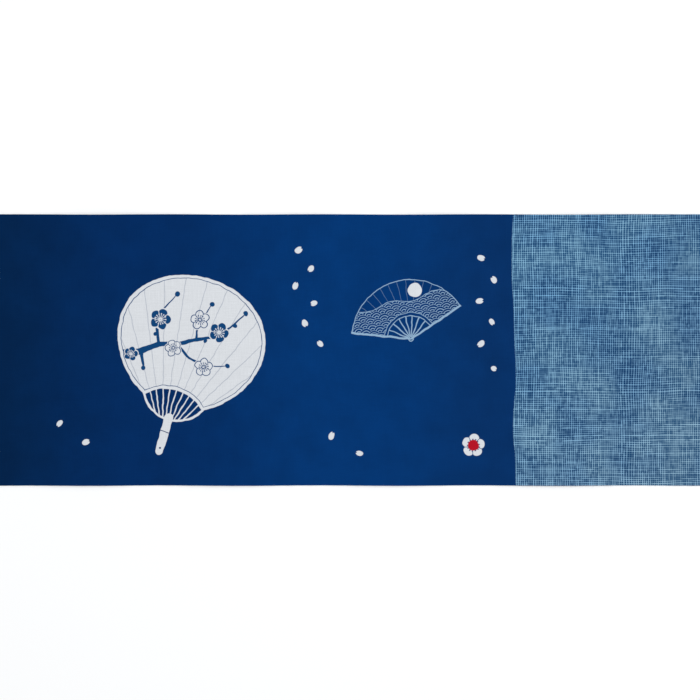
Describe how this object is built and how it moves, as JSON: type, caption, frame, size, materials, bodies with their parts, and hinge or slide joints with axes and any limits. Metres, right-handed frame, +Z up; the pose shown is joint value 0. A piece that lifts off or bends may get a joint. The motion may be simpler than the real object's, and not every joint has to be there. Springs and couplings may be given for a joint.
{
  "type": "tenugui towel",
  "caption": "Thin flat cotton hand towel, laid out at full length, dyed indigo with a fine lattice over one end.",
  "frame": {"origin": "on the surface that the towel lies on, under the middle of its outline", "axes": "+X along the towel's length, towards the end with the lattice; +Y across it, towards the top of the design; +Z up, out of the dyed face"},
  "size_m": [0.9, 0.3476, 0.0034],
  "materials": {
    "dyed_cotton": "matt plain-woven cotton, dyed indigo right through, with undyed off-white shapes and a lighter blue lattice at the +X end"
  },
  "bodies": {
    "root": {"towel": "dyed_cotton"}
  },
  "joints": []
}
